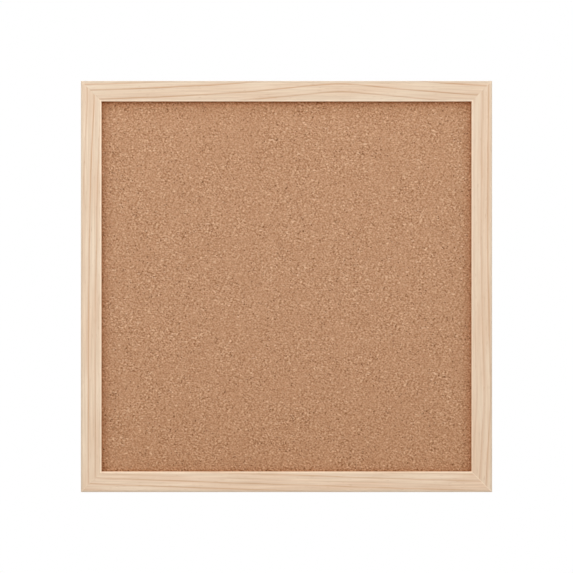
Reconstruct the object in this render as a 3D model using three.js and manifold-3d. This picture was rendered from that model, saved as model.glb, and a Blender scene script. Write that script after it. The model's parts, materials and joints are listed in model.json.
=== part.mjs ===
// A square cork notice board in a mitred pine frame, hung by two D-rings on its back.
// Millimetres, +Z up, the front faces -Y. The origin is the middle of the board on the wall plane.

import * as THREE from "three";
import { mergeVertices } from "three/addons/utils/BufferGeometryUtils.js";
import Module from "manifold-3d";

const wasm = await Module();
wasm.setup();

// Driving dimensions
const BOARD_SIDE = 300;
const RAIL_FACE = 15;
const RAIL_DEPTH = 15;
const WALL_GAP = 4;
const FRONT_LIP = 4;
const BACK_LIP = 3;
const GROOVE_DEPTH = 5;
const CORK_THICKNESS = 2.5;
const CORE_THICKNESS = 5;
const LINER_THICKNESS = 0.5;
const PANEL_CLEARANCE = 0.3;

// Pockets and holes are this much larger than what they hold
const CUT_CLEARANCE = 0.3;

// A cutting shape starts this far outside what it cuts
const CUT_OVERSHOOT = 1;

// The frame's rounded edges
const OUTER_FRONT_RADIUS = 1.2;
const INNER_FRONT_RADIUS = 0.8;
const BACK_RADIUS = 0.8;

// V-nails, two across each mitre: distance of the fold from the frame's outer edges
const V_NAIL_FOLDS = { outer: 3, inner: 6.5 };
const V_NAIL_WING = 5;
const V_NAIL_THICKNESS = 0.5;
const V_NAIL_HEIGHT = 10;
const V_NAIL_SUNK = 0.4;

// D-ring hangers: the strap is a steel strip folded round the wire of the ring
const HANGER_X = 143;
const HANGER_Z = 80;
const STRIP_THICKNESS = 0.8;
const STRAP_WIDTH = 8;
const STRAP_LENGTH = 19;
const STRAP_CORNER_RADIUS = 3.2;
const LOOP_BORE_RADIUS = 1.15;
const STRAP_FILLET_RADIUS = 1;
const SCREW_DROP = 13.7;
const SCREW_HOLE_RADIUS = 1.65;

const RING_WIRE_RADIUS = 0.9;
const RING_WIDTH = 11;
const RING_BEND_RADIUS = 1.6;
const RING_ARM = 4;
const RING_END_GAP = 0.3;
const RING_REST_ANGLE = THREE.MathUtils.degToRad(6);

const SCREW_LENGTH = 10;
const SCREW_RADIUS = 1.5;
const SCREW_TIP = 2.5;
const SCREW_HEAD_RADIUS = 2.8;
const SCREW_HEAD_HEIGHT = 1.5;
const SCREW_HEAD_RIM = 0.5;
const RECESS_LENGTH = 3;
const RECESS_WIDTH = 0.6;
const RECESS_DEPTH = 0.9;

const BUMPER_X = 120;
const BUMPER_RADIUS = 5;
const BUMPER_EDGE_RADIUS = 0.8;

// How finely round shapes are divided; an arc gets twice its steps
const ROUND_STEPS = 24;
const ARC_STEPS = 3;
const FOLD_ARC_STEPS = 9;
const RING_STEPS = 56;
const WIRE_SIDES = 12;
const SAME_POINT = 1e-4;

// Worked out from the driving dimensions
const HALF = BOARD_SIDE / 2;
const FRAME_BACK = -WALL_GAP;
const FRAME_FRONT = FRAME_BACK - RAIL_DEPTH;
const LIP_BACK = FRAME_FRONT + FRONT_LIP;
const GROOVE_BACK = FRAME_BACK - BACK_LIP;
const RAIL_MIDDLE = HALF - RAIL_FACE / 2;
const LOOP_RADIUS = LOOP_BORE_RADIUS + STRIP_THICKNESS;
const PLATE_THICKNESS = 2 * STRIP_THICKNESS;

const TOP = 0;
const RIGHT = Math.PI / 2;
const BOTTOM = Math.PI;
const LEFT = -Math.PI / 2;

const pine = () => new THREE.MeshStandardMaterial({ color: 0xe5cbb1, roughness: 0.6 });
const cork = new THREE.MeshStandardMaterial({ color: 0xbb8e6d, roughness: 0.95 });
const softboard = new THREE.MeshStandardMaterial({ color: 0x9c7f5c, roughness: 0.95 });
const kraft = new THREE.MeshStandardMaterial({ color: 0xb08d62, roughness: 0.85 });
const bareSteel = new THREE.MeshStandardMaterial({ color: 0x9a9a9c, roughness: 0.45, metalness: 1 });
const zincSteel = new THREE.MeshStandardMaterial({ color: 0xc4c6c9, roughness: 0.3, metalness: 1 });
const rubber = new THREE.MeshStandardMaterial({ color: 0x3a3a3c, roughness: 0.8 });

const board = new THREE.Group();

function addMesh(parent, name, geometry, material) {
  const mesh = new THREE.Mesh(geometry, material);
  mesh.name = name;
  parent.add(mesh);
  return mesh;
}

// A closed geometry as a solid that can be cut and joined.
function toSolid(geometry) {
  const bare = geometry.index ? geometry.toNonIndexed() : geometry.clone();
  bare.deleteAttribute("normal");
  bare.deleteAttribute("uv");
  const merged = mergeVertices(bare, SAME_POINT);
  return new wasm.Manifold(
    new wasm.Mesh({
      numProp: 3,
      vertProperties: new Float32Array(merged.attributes.position.array),
      triVerts: new Uint32Array(merged.index.array),
    }),
  );
}

function toGeometry(solid) {
  const mesh = solid.getMesh();
  const geometry = new THREE.BufferGeometry();
  geometry.setAttribute("position", new THREE.BufferAttribute(mesh.vertProperties, 3));
  geometry.setIndex(new THREE.BufferAttribute(mesh.triVerts, 1));
  const faceted = geometry.toNonIndexed();
  faceted.computeVertexNormals();
  return faceted;
}

const cut = (geometry, ...cutters) =>
  toGeometry(cutters.reduce((solid, cutter) => solid.subtract(toSolid(cutter)), toSolid(geometry)));

// The section of a rail: x is the distance in from the frame's outer edge, y is the board's own Y.
function railSection() {
  const section = new THREE.Shape();
  const outer = OUTER_FRONT_RADIUS;
  const inner = INNER_FRONT_RADIUS;
  const back = BACK_RADIUS;
  section.moveTo(outer, FRAME_FRONT);
  section.lineTo(RAIL_FACE - inner, FRAME_FRONT);
  section.absarc(RAIL_FACE - inner, FRAME_FRONT + inner, inner, -Math.PI / 2, 0, false);
  section.lineTo(RAIL_FACE, LIP_BACK);
  section.lineTo(RAIL_FACE - GROOVE_DEPTH, LIP_BACK);
  section.lineTo(RAIL_FACE - GROOVE_DEPTH, GROOVE_BACK);
  section.lineTo(RAIL_FACE, GROOVE_BACK);
  section.lineTo(RAIL_FACE, FRAME_BACK);
  section.lineTo(back, FRAME_BACK);
  section.absarc(back, FRAME_BACK - back, back, Math.PI / 2, Math.PI, false);
  section.lineTo(0, FRAME_FRONT + outer);
  section.absarc(outer, FRAME_FRONT + outer, outer, Math.PI, 1.5 * Math.PI, false);
  return section;
}

// A rail as it lies along the top. Its ends are mitred, so each of its edges is as long as the board is wide
// at that distance in from the frame's outer edge.
function mitredRail() {
  const length = BOARD_SIDE;
  const geometry = new THREE.ExtrudeGeometry(railSection(), {
    depth: length,
    bevelEnabled: false,
    curveSegments: ARC_STEPS,
  });
  const position = geometry.attributes.position;
  for (let i = 0; i < position.count; i++) {
    const reach = HALF - position.getX(i);
    const end = (2 * position.getZ(i)) / length - 1;
    position.setXYZ(i, end * reach, position.getY(i), reach);
  }
  return geometry;
}

// A V-nail seen from the back, its fold on the mitre and a wing along each rail, at the top right corner.
function vNail(fold, clearance, height) {
  const near = HALF - fold + V_NAIL_THICKNESS / 2 + clearance;
  const far = HALF - fold - V_NAIL_THICKNESS / 2 - clearance;
  const tip = HALF - fold - V_NAIL_WING - clearance;
  const outline = new THREE.Shape();
  outline.moveTo(near, near);
  outline.lineTo(tip, near);
  outline.lineTo(tip, far);
  outline.lineTo(far, far);
  outline.lineTo(far, tip);
  outline.lineTo(near, tip);
  return new THREE.ExtrudeGeometry(outline, { depth: height, bevelEnabled: false }).rotateX(Math.PI / 2);
}

// A pocket for each V-nail at both ends of a rail, a little larger than the nail.
function nailPockets() {
  const pockets = [];
  const start = FRAME_BACK + CUT_OVERSHOOT;
  const length = CUT_OVERSHOOT + V_NAIL_SUNK + V_NAIL_HEIGHT + CUT_CLEARANCE;
  for (const fold of Object.values(V_NAIL_FOLDS)) {
    for (const turn of [TOP, LEFT]) {
      pockets.push(vNail(fold, CUT_CLEARANCE, length).translate(0, start, 0).rotateY(turn));
    }
  }
  return pockets;
}

// The hole for a hanger's screw, at this place along the rail.
function screwHole(along) {
  const start = FRAME_BACK + CUT_OVERSHOOT;
  const length = CUT_OVERSHOOT + SCREW_LENGTH - PLATE_THICKNESS + CUT_CLEARANCE;
  const radius = SCREW_RADIUS + CUT_CLEARANCE;
  const hole = new THREE.CylinderGeometry(radius, radius, length, ROUND_STEPS);
  return hole.translate(along, start - length / 2, HANGER_X);
}

// Frame
const frame = new THREE.Group();
board.add(frame);
const screwZ = HANGER_Z - SCREW_DROP;
const rails = [
  { name: "top_rail", turn: TOP, holes: [] },
  { name: "right_stile", turn: RIGHT, holes: [screwHole(-screwZ)] },
  { name: "bottom_rail", turn: BOTTOM, holes: [] },
  { name: "left_stile", turn: LEFT, holes: [screwHole(screwZ)] },
];
for (const { name, turn, holes } of rails) {
  const rail = addMesh(frame, name, cut(mitredRail(), ...nailPockets(), ...holes), pine());
  rail.rotation.y = turn;
}

const corners = { top_right: TOP, bottom_right: RIGHT, bottom_left: BOTTOM, top_left: LEFT };
for (const [corner, turn] of Object.entries(corners)) {
  for (const [place, fold] of Object.entries(V_NAIL_FOLDS)) {
    const nail = addMesh(frame, `v_nail_${corner}_${place}`, vNail(fold, 0, V_NAIL_HEIGHT), bareSteel);
    nail.position.y = FRAME_BACK - V_NAIL_SUNK;
    nail.rotation.y = turn;
  }
}

// Panel: cork on a soft core with a paper liner, held all round in the frame's groove
const panel = new THREE.Group();
board.add(panel);
const panelSide = BOARD_SIDE - 2 * (RAIL_FACE - GROOVE_DEPTH + PANEL_CLEARANCE);
const layers = [
  { name: "cork_sheet", thickness: CORK_THICKNESS, material: cork },
  { name: "softboard_core", thickness: CORE_THICKNESS, material: softboard },
  { name: "backing_liner", thickness: LINER_THICKNESS, material: kraft },
];
let layerFront = LIP_BACK;
for (const { name, thickness, material } of layers) {
  const layer = addMesh(panel, name, new THREE.BoxGeometry(panelSide, thickness, panelSide), material);
  layer.position.y = layerFront + thickness / 2;
  layerFront += thickness;
}

// The side view of a strap: x is out from the wood, y is up from the ring's pivot.
function strapSection() {
  const pivot = LOOP_RADIUS;
  const crease = STRAP_FILLET_RADIUS + PLATE_THICKNESS;
  const creaseDrop = Math.sqrt(
    (LOOP_RADIUS + STRAP_FILLET_RADIUS) ** 2 - (crease - pivot) ** 2);
  const meeting = Math.atan2(-creaseDrop, crease - pivot);
  const section = new THREE.Shape();
  section.moveTo(0, -STRAP_LENGTH);
  section.lineTo(PLATE_THICKNESS, -STRAP_LENGTH);
  section.lineTo(PLATE_THICKNESS, -creaseDrop);
  section.absarc(crease, -creaseDrop, STRAP_FILLET_RADIUS, Math.PI, meeting + Math.PI, true);
  section.absarc(pivot, 0, LOOP_RADIUS, meeting, Math.PI, false);
  const bore = new THREE.Path();
  const inside = STRAP_FILLET_RADIUS + STRIP_THICKNESS;
  bore.moveTo(STRIP_THICKNESS, 0);
  bore.absarc(pivot, 0, LOOP_BORE_RADIUS, Math.PI, meeting, true);
  bore.absarc(crease, -creaseDrop, inside, meeting + Math.PI, Math.PI, false);
  section.holes.push(bore);
  return section;
}

// The strap's plan with its two rounded lower corners, as a block that the strap is kept inside.
function strapPlan() {
  const side = STRAP_WIDTH / 2;
  const radius = STRAP_CORNER_RADIUS;
  const low = -STRAP_LENGTH;
  const high = LOOP_RADIUS + CUT_OVERSHOOT;
  const out = 2 * LOOP_RADIUS + CUT_OVERSHOOT;
  const plan = new THREE.Shape();
  plan.moveTo(-side, high);
  plan.lineTo(-side, low + radius);
  plan.absarc(-side + radius, low + radius, radius, Math.PI, 1.5 * Math.PI, false);
  plan.absarc(side - radius, low + radius, radius, 1.5 * Math.PI, 2 * Math.PI, false);
  plan.lineTo(side, high);
  const block = new THREE.ExtrudeGeometry(plan, {
    depth: out + CUT_OVERSHOOT,
    bevelEnabled: false,
    curveSegments: ARC_STEPS,
  });
  return block.rotateX(Math.PI / 2).translate(0, out, 0);
}

function strapGeometry() {
  const strip = new THREE.ExtrudeGeometry(strapSection(), {
    depth: STRAP_WIDTH,
    bevelEnabled: false,
    curveSegments: FOLD_ARC_STEPS,
  });
  const across = new THREE.Vector3(1, 0, 0);
  const out = new THREE.Vector3(0, 1, 0);
  const up = new THREE.Vector3(0, 0, 1);
  strip.applyMatrix4(new THREE.Matrix4().makeBasis(out, up, across));
  strip.translate(-STRAP_WIDTH / 2, 0, 0);
  const holeLength = PLATE_THICKNESS + 2 * CUT_OVERSHOOT;
  const hole = new THREE.CylinderGeometry(SCREW_HOLE_RADIUS, SCREW_HOLE_RADIUS, holeLength, ROUND_STEPS);
  hole.translate(0, PLATE_THICKNESS / 2, -SCREW_DROP);
  return toGeometry(toSolid(strip).intersect(toSolid(strapPlan())).subtract(toSolid(hole)));
}

// The wire's centre line, hanging down from the pivot at the origin: x is across, y is up.
function ringCentreLine() {
  const half = RING_WIDTH / 2;
  const bend = RING_BEND_RADIUS;
  const line = new THREE.Path();
  line.moveTo(RING_END_GAP / 2, 0);
  line.lineTo(half - bend, 0);
  line.absarc(half - bend, -bend, bend, Math.PI / 2, 0, true);
  line.lineTo(half, -RING_ARM);
  line.absarc(0, -RING_ARM, half, 0, -Math.PI, true);
  line.lineTo(-half, -bend);
  line.absarc(-half + bend, -bend, bend, Math.PI, Math.PI / 2, true);
  line.lineTo(-RING_END_GAP / 2, 0);
  return line;
}

function ringGeometry() {
  const points = ringCentreLine().getSpacedPoints(RING_STEPS).map((p) => new THREE.Vector3(p.x, 0, p.y));
  const wire = new THREE.Shape().absarc(0, 0, RING_WIRE_RADIUS, 0, 2 * Math.PI, false);
  return new THREE.ExtrudeGeometry(wire, {
    steps: RING_STEPS,
    extrudePath: new THREE.CatmullRomCurve3(points),
    curveSegments: WIRE_SIDES / 2,
  });
}

// A pan head wood screw along +Y, the underside of its head at y = 0.
function screwGeometry() {
  const dome = new THREE.Path();
  dome.moveTo(0, -SCREW_LENGTH);
  dome.lineTo(SCREW_RADIUS, SCREW_TIP - SCREW_LENGTH);
  dome.lineTo(SCREW_RADIUS, 0);
  dome.lineTo(SCREW_HEAD_RADIUS, 0);
  dome.lineTo(SCREW_HEAD_RADIUS, SCREW_HEAD_RIM);
  dome.quadraticCurveTo(SCREW_HEAD_RADIUS, SCREW_HEAD_HEIGHT, SCREW_RADIUS, SCREW_HEAD_HEIGHT);
  dome.lineTo(0, SCREW_HEAD_HEIGHT);
  const turned = new THREE.LatheGeometry(dome.getPoints(2 * ARC_STEPS), ROUND_STEPS);
  const slots = [
    new THREE.BoxGeometry(RECESS_LENGTH, 2 * RECESS_DEPTH, RECESS_WIDTH),
    new THREE.BoxGeometry(RECESS_WIDTH, 2 * RECESS_DEPTH, RECESS_LENGTH),
  ];
  return cut(turned, ...slots.map((slot) => slot.translate(0, SCREW_HEAD_HEIGHT, 0)));
}

// Hangers on the backs of the two stiles
for (const [side, x] of Object.entries({ left: -HANGER_X, right: HANGER_X })) {
  const hanger = new THREE.Group();
  hanger.position.set(x, FRAME_BACK, HANGER_Z);
  board.add(hanger);
  addMesh(hanger, `${side}_hanger_strap`, strapGeometry(), zincSteel);
  const ring = addMesh(hanger, `${side}_hanger_ring`, ringGeometry(), zincSteel);
  ring.position.y = LOOP_RADIUS;
  ring.rotation.x = RING_REST_ANGLE;
  const screw = addMesh(hanger, `${side}_hanger_screw`, screwGeometry(), zincSteel);
  screw.position.set(0, PLATE_THICKNESS, -SCREW_DROP);
}

// Wall bumpers low on the back
function bumperGeometry() {
  const edge = BUMPER_RADIUS - BUMPER_EDGE_RADIUS;
  const profile = new THREE.Path();
  profile.moveTo(0, 0);
  profile.lineTo(BUMPER_RADIUS, 0);
  profile.lineTo(BUMPER_RADIUS, WALL_GAP - BUMPER_EDGE_RADIUS);
  profile.absarc(edge, WALL_GAP - BUMPER_EDGE_RADIUS, BUMPER_EDGE_RADIUS, 0, Math.PI / 2, false);
  profile.lineTo(0, WALL_GAP);
  return new THREE.LatheGeometry(profile.getPoints(ARC_STEPS), ROUND_STEPS);
}

for (const [side, x] of Object.entries({ left: -BUMPER_X, right: BUMPER_X })) {
  const bumper = addMesh(board, `${side}_wall_bumper`, bumperGeometry(), rubber);
  bumper.position.set(x, FRAME_BACK, -RAIL_MIDDLE);
}

export default board;
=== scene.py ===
"""A square cork notice board in a mitred pine frame, with D-ring hangers and bumpers on its back.

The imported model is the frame. This script adds the finish of every surface, the granules of the cork, the
cockled paper of the back and finer shapes for the metal and rubber pieces. Lengths are in metres unless a
name ends in _mm or _MM, and the materials work in millimetres.
"""

import json
import math
import random

import bmesh
import bpy
import numpy as np
from mathutils import Matrix, Vector


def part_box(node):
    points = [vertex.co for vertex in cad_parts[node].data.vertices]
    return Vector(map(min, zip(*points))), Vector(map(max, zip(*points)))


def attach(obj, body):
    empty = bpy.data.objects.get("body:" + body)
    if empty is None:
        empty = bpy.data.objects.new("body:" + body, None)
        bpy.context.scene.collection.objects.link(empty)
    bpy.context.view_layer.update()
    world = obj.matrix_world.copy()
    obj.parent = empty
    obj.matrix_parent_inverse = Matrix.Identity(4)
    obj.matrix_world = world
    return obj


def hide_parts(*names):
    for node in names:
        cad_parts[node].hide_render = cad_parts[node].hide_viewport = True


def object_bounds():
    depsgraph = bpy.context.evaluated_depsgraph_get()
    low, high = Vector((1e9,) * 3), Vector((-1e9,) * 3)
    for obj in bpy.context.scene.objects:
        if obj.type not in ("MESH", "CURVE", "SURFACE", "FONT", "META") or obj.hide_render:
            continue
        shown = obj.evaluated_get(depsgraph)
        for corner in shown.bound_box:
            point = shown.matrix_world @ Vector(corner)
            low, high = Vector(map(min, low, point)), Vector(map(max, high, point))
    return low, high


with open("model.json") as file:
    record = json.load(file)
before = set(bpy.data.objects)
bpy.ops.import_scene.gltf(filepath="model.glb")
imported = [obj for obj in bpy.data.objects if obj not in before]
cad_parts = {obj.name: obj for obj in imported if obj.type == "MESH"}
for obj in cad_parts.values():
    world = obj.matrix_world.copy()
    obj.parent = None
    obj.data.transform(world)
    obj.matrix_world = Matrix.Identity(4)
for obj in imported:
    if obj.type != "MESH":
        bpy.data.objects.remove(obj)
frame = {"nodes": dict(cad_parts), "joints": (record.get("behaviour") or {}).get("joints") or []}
cad_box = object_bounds()

MM = 0.001
SIDES = ("left", "right")

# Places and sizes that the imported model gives
BOARD_HALF = cad_box[1].x
CORK_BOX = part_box("cork_sheet")
LINER_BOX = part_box("backing_liner")
RAIL_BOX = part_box("top_rail")
STRAP_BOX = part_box("right_hanger_strap")
SCREW_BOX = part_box("right_hanger_screw")
BUMPER_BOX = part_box("right_wall_bumper")
FRAME_FRONT = RAIL_BOX[0].y
FRAME_BACK = RAIL_BOX[1].y
RAIL_FACE = RAIL_BOX[1].z - RAIL_BOX[0].z
OPENING_HALF = BOARD_HALF - RAIL_FACE
RING_PIVOTS = {joint["child"]: joint["pos_m"] for joint in frame["joints"]}

# Hangers: the strip of the straps and the wire of the rings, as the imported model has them
STRIP_THICKNESS = 0.8 * MM
LOOP_BORE_RADIUS = 1.15 * MM
STRAP_FILLET_RADIUS = 1.0 * MM
STRAP_CORNER_RADIUS = 3.2 * MM
SCREW_HOLE_RADIUS = 1.65 * MM
RING_WIRE_RADIUS = 0.9 * MM
RING_WIDTH = 11.0 * MM
RING_BEND_RADIUS = 1.6 * MM
RING_ARM = 4.0 * MM
RING_END_GAP = 0.3 * MM
RING_REST_ANGLE = math.radians(6)


def linear(red, green, blue):
    """Linear values, with alpha, for a colour that reads as this one, 0 to 255."""
    shares = [channel / 255 for channel in (red, green, blue)]
    return (*[c / 12.92 if c <= 0.04045 else ((c + 0.055) / 1.055) ** 2.4 for c in shares], 1)


# Colours as they read in soft daylight
PINE_PALE = linear(230, 208, 183)
PINE_WARM = linear(223, 193, 165)
PINE_LATE = linear(203, 161, 127)
PINE_FLECK = linear(186, 142, 104)
# Pale pine for the painted highlight on the inner edges and for the worn mitres, and greyer pine for the
# painted shade on the outer edges
PINE_HIGHLIGHT_AND_WEAR = linear(250, 229, 204)
PINE_EDGE_SHADE = linear(203, 185, 162)
CORK_DARK = linear(120, 75, 42)
CORK_PORE = linear(110, 66, 34)
CORK_BROWN = linear(165, 119, 84)
CORK_MEAN = linear(188, 143, 109)
CORK_LIGHT = linear(207, 166, 132)
CORK_PALE = linear(230, 194, 162)
CORK_RED = linear(192, 138, 107)
CORK_GREY = linear(184, 145, 115)
PAPER_SHIVE = linear(104, 72, 44)
STEEL_BRIGHT = linear(158, 158, 160)
STEEL_DULL = linear(128, 127, 126)
STEEL_RUBBED = linear(212, 211, 208)
ZINC_BRIGHT = linear(184, 186, 191)
ZINC_DULL = linear(160, 162, 167)
RUBBER_SCUFF = linear(104, 102, 100)
FLOOR_PALE = linear(248, 248, 247)

# Colours along a noise, from its low to its high values
CORK_TONES = ((0.0, CORK_DARK), (0.25, CORK_BROWN), (0.5, CORK_MEAN), (0.75, CORK_LIGHT), (1.0, CORK_PALE))
PAPER_TONES = ((0.3, linear(152, 114, 75)), (0.5, linear(178, 140, 98)), (0.7, linear(197, 161, 119)))
FELT_TONES = ((0.3, linear(112, 86, 58)), (0.55, linear(158, 128, 92)), (0.75, linear(190, 162, 124)))
RUBBER_TONES = ((0.3, linear(40, 40, 42)), (0.7, linear(58, 58, 60)))

# The range in which most of a noise lies
NOISE_MIDDLE = (0.3, 0.7)

# A Mix node's sockets for colours: its factor, its two colours, and the colour it gives
MIX_INPUTS = (0, 6, 7)
MIX_OUTPUT = 2


class Nodes:
    """A node tree under construction. Its calls add nodes and link what they are given."""

    def __init__(self, tree):
        self.tree = tree
        tree.nodes.clear()

    def add(self, kind, *values, **settings):
        """A new node with these settings, and these values on its first inputs."""
        node = self.tree.nodes.new(kind)
        for name, value in settings.items():
            setattr(node, name, value)
        for socket, value in zip(node.inputs, values):
            self.feed(socket, value)
        return node

    def feed(self, socket, value):
        if isinstance(value, bpy.types.NodeSocket):
            self.tree.links.new(value, socket)
        else:
            socket.default_value = value

    def math(self, operation, *values):
        return self.add("ShaderNodeMath", *values, operation=operation).outputs[0]

    def times(self, value, factor):
        return self.math("MULTIPLY", value, factor)

    def less(self, value, taken):
        return self.math("SUBTRACT", value, taken)

    def blend_where_seen(self, lit, seen, most=1.0):
        """Up to this share of one shader where a camera or reflection looks, and only the other elsewhere."""
        rays = self.add("ShaderNodeLightPath").outputs
        looks = self.math("MAXIMUM", rays["Is Camera Ray"], rays["Is Glossy Ray"])
        looks = self.math("MAXIMUM", looks, rays["Is Transmission Ray"])
        return self.add("ShaderNodeMixShader", self.times(looks, most), lit, seen).outputs[0]


class Surface(Nodes):
    """A material under construction, with its shader. Places and distances on it are in millimetres."""

    def __init__(self, name):
        self.material = bpy.data.materials.new(name)
        self.material.use_nodes = True
        super().__init__(self.material.node_tree)
        self.shader = self.add("ShaderNodeBsdfPrincipled")
        self.output = self.add("ShaderNodeOutputMaterial", self.shader.outputs["BSDF"]).inputs["Surface"]

    def set(self, **inputs):
        """Sets or links the shader's inputs; an underscore stands for a space."""
        for name, value in inputs.items():
            self.feed(self.shader.inputs[name.replace("_", " ")], value)
        return self.material

    def place_mm(self):
        """The point's place on the piece, as x, y and z."""
        coordinates = self.add("ShaderNodeTexCoord").outputs["Object"]
        return self.add("ShaderNodeSeparateXYZ", self.stretched(coordinates, 1 / MM)).outputs[:]

    def vector(self, x, y, z):
        return self.add("ShaderNodeCombineXYZ", x, y, z).outputs[0]

    def stretched(self, vector, factor):
        node = self.add("ShaderNodeVectorMath", vector, operation="SCALE")
        self.feed(node.inputs["Scale"], factor)
        return node.outputs[0]

    def total(self, *values):
        result = values[0]
        for value in values[1:]:
            result = self.math("ADD", result, value)
        return result

    def distance(self, across, up):
        return self.math("SQRT", self.total(self.times(across, across), self.times(up, up)))

    def from_axis(self, x, z, axis_x, axis_z):
        """The distance from the nearer of two axes along Y, axis_x to either side of the middle."""
        across = self.less(self.math("ABSOLUTE", x), axis_x / MM)
        return self.distance(across, self.less(z, axis_z / MM))

    def swing(self, value, width):
        """A value around 0.5 turned into one around 0 and made this wide."""
        return self.times(self.less(value, 0.5), width)

    def remap(self, value, source, target=(0.0, 1.0), smooth=True):
        """A value carried from one range to another, and held at the ends."""
        node = self.add("ShaderNodeMapRange", value, *source, *target)
        node.interpolation_type = "SMOOTHSTEP" if smooth else "LINEAR"
        return node.outputs["Result"]

    def noise(self, place, scale=1.0, detail=2.0, roughness=0.5, distortion=0.0, output="Fac"):
        node = self.add("ShaderNodeTexNoise", place)
        for name, given in (("Scale", scale), ("Detail", detail), ("Roughness", roughness),
                            ("Distortion", distortion)):
            self.feed(node.inputs[name], given)
        return node.outputs[output]

    def warped(self, place, scale, reach):
        """A place moved about by noise, so that cells laid out by it have uneven outlines."""
        noise = self.noise(place, scale, output="Color")
        centred = self.add("ShaderNodeVectorMath", noise, (0.5, 0.5, 0.5), operation="SUBTRACT").outputs[0]
        shift = self.stretched(centred, reach)
        return self.add("ShaderNodeVectorMath", place, shift, operation="ADD").outputs[0]

    def cells(self, place, scale):
        node = self.add("ShaderNodeTexVoronoi", place, feature="F1")
        self.feed(node.inputs["Scale"], scale)
        return node.outputs

    def spots(self, place, scale, share, size, soft=0.05):
        """A mask of round spots, one in some of the cells. The size and softness are shares of a cell."""
        cells = self.cells(place, scale)
        chance = self.channel(cells["Color"], 1)
        radius = self.remap(chance, (1 - share, 1.0), (-2 * soft, size), smooth=False)
        return self.remap(self.less(radius, cells["Distance"]), (-soft, soft))

    def channel(self, colour, index=0):
        return self.add("ShaderNodeSeparateColor", colour).outputs[index]

    def attribute(self, name):
        return self.add("ShaderNodeAttribute", attribute_name=name).outputs["Fac"]

    def ramp(self, value, stops, ease=False):
        """A colour for each value; stops are (place, colour)."""
        node = self.add("ShaderNodeValToRGB", value)
        node.color_ramp.interpolation = "EASE" if ease else "LINEAR"
        elements = node.color_ramp.elements
        elements[0].position, elements[1].position = stops[0][0], stops[-1][0]
        for place, _ in stops[1:-1]:
            elements.new(place)
        for element, (_, colour) in zip(elements, stops):
            element.color = colour
        return node.outputs["Color"]

    def mix(self, factor, first, second, blend="MIX"):
        node = self.add("ShaderNodeMix", data_type="RGBA", blend_type=blend)
        for index, value in zip(MIX_INPUTS, (factor, first, second)):
            self.feed(node.inputs[index], value)
        return node.outputs[MIX_OUTPUT]

    def bump(self, height, depth_mm):
        node = self.add("ShaderNodeBump")
        self.feed(node.inputs["Height"], height)
        self.feed(node.inputs["Distance"], depth_mm * MM)
        return node.outputs["Normal"]


# How each rail was sawn from its plank. side is the sign of the rail's place across the board. tones lighten
# or darken the rail, and warm adds to its warmer wood, each at its left or lower end and at its other end; on
# the stiles the tones are partly painted shade and light, darker at the upper end. streaky is the strength of
# its stripes, and paling is the strength of the painted highlight on its inner edge. A growth ring is its
# distance in from the frame's outer edge at the crown, its strength and the width of its soft side. From the
# crown, which is rounded by round_mm, the rings fall away by fall_mm in all, most of it over reach_mm, and by
# slope for each millimetre; lean_deg is their slant through the depth of the rail.
RAILS = {
    "top_rail": dict(
        along="X", side=1, tones=(0.99, 0.995), warm=(-0.05, 0.08), streaky=0.33, paling=0.95, seed=3.0,
        crown_mm=39.0, round_mm=14.6, fall_mm=14.6, reach_mm=110, slope=0.0, lean_deg=28,
        rings=((-4.5, 0.85, 1.5), (-0.6, 0.18, 1.2), (2.4, 0.9, 1.3), (5.7, 0.18, 1.2), (8.25, 0.75, 1.4),
               (14.8, 0.5, 1.3))),
    "bottom_rail": dict(
        along="X", side=-1, tones=(0.955, 0.955), warm=(0.28, 0.28), streaky=0.45, paling=0.45, seed=11.0,
        crown_mm=0.0, round_mm=14.6, fall_mm=0.0, reach_mm=100, slope=-0.0325, lean_deg=-35,
        rings=((-3.0, 0.6, 1.4), (1.55, 0.8, 1.3), (5.9, 0.75, 1.3), (9.2, 0.3, 1.2), (12.85, 0.75, 1.2),
               (17.4, 0.5, 1.5))),
    "left_stile": dict(
        along="Z", side=-1, tones=(1.058, 0.928), warm=(0.12, 0.07), streaky=0.45, paling=0.95, seed=23.0,
        crown_mm=139.0, round_mm=6.0, fall_mm=-4.4, reach_mm=66, slope=0.0, lean_deg=22,
        rings=((4.9, 0.45, 1.3), (10.0, 0.85, 1.5), (15.0, 0.65, 1.3))),
    "right_stile": dict(
        along="Z", side=1, tones=(1.044, 0.923), warm=(0.3, 0.0), streaky=0.24, paling=0.35, seed=37.0,
        crown_mm=-81.0, round_mm=14.6, fall_mm=5.4, reach_mm=79, slope=-0.014, lean_deg=-30,
        rings=((1.2, 0.75, 1.7), (6.1, 0.5, 2.6), (11.4, 0.3, 1.4))),
}
RING_REACH_MM = (-16.0, 26.0)
RING_SPACING_MM = (3.68, 5.75)
RING_STRENGTH = (0.4, 0.8)
RING_SOFT_SIDE_MM = 1.5
RING_SHARP_SIDE_MM = 0.4
RING_STOPS_MOST = 32

# How far the rings wander in long and in short bends, and how they fade and strengthen along the grain
RING_BENDS_MM = 1.6
RING_WAVERS_MM = 0.6
RING_FADING = (0.75, 1.15)

# The noises in the wood. Each is stretched to about this length along the grain and this width across it, in
# millimetres, and has this detail and this roughness.
STREAKS = {
    "bends": (85, 20, 2.0, 0.5),
    "wavers": (22, 5, 2.0, 0.5),
    "fading": (34, 3.0, 2.0, 0.5),
    "clouds": (60, 9, 2.0, 0.5),
    "stripes": (45, 1.2, 1.0, 0.5),
    "fibres": (26, 0.45, 3.0, 0.6),
    "hairs": (8, 0.14, 2.0, 0.6),
    "flecks": (5.5, 0.42, 0.0, 0.5),
    "wear": (9, 1.2, 2.0, 0.5),
}
FIBRE_STRENGTH = 0.2
FLECKS_FROM = (0.72, 0.8)
FLECK_MOST = 0.4
CLOUD_MOST = 0.7

# How much of a fine streak shows in the wood's red, green and blue, which makes the darker streaks warmer
STREAK_SHARES = (0.75, 1.0, 1.25)
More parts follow.
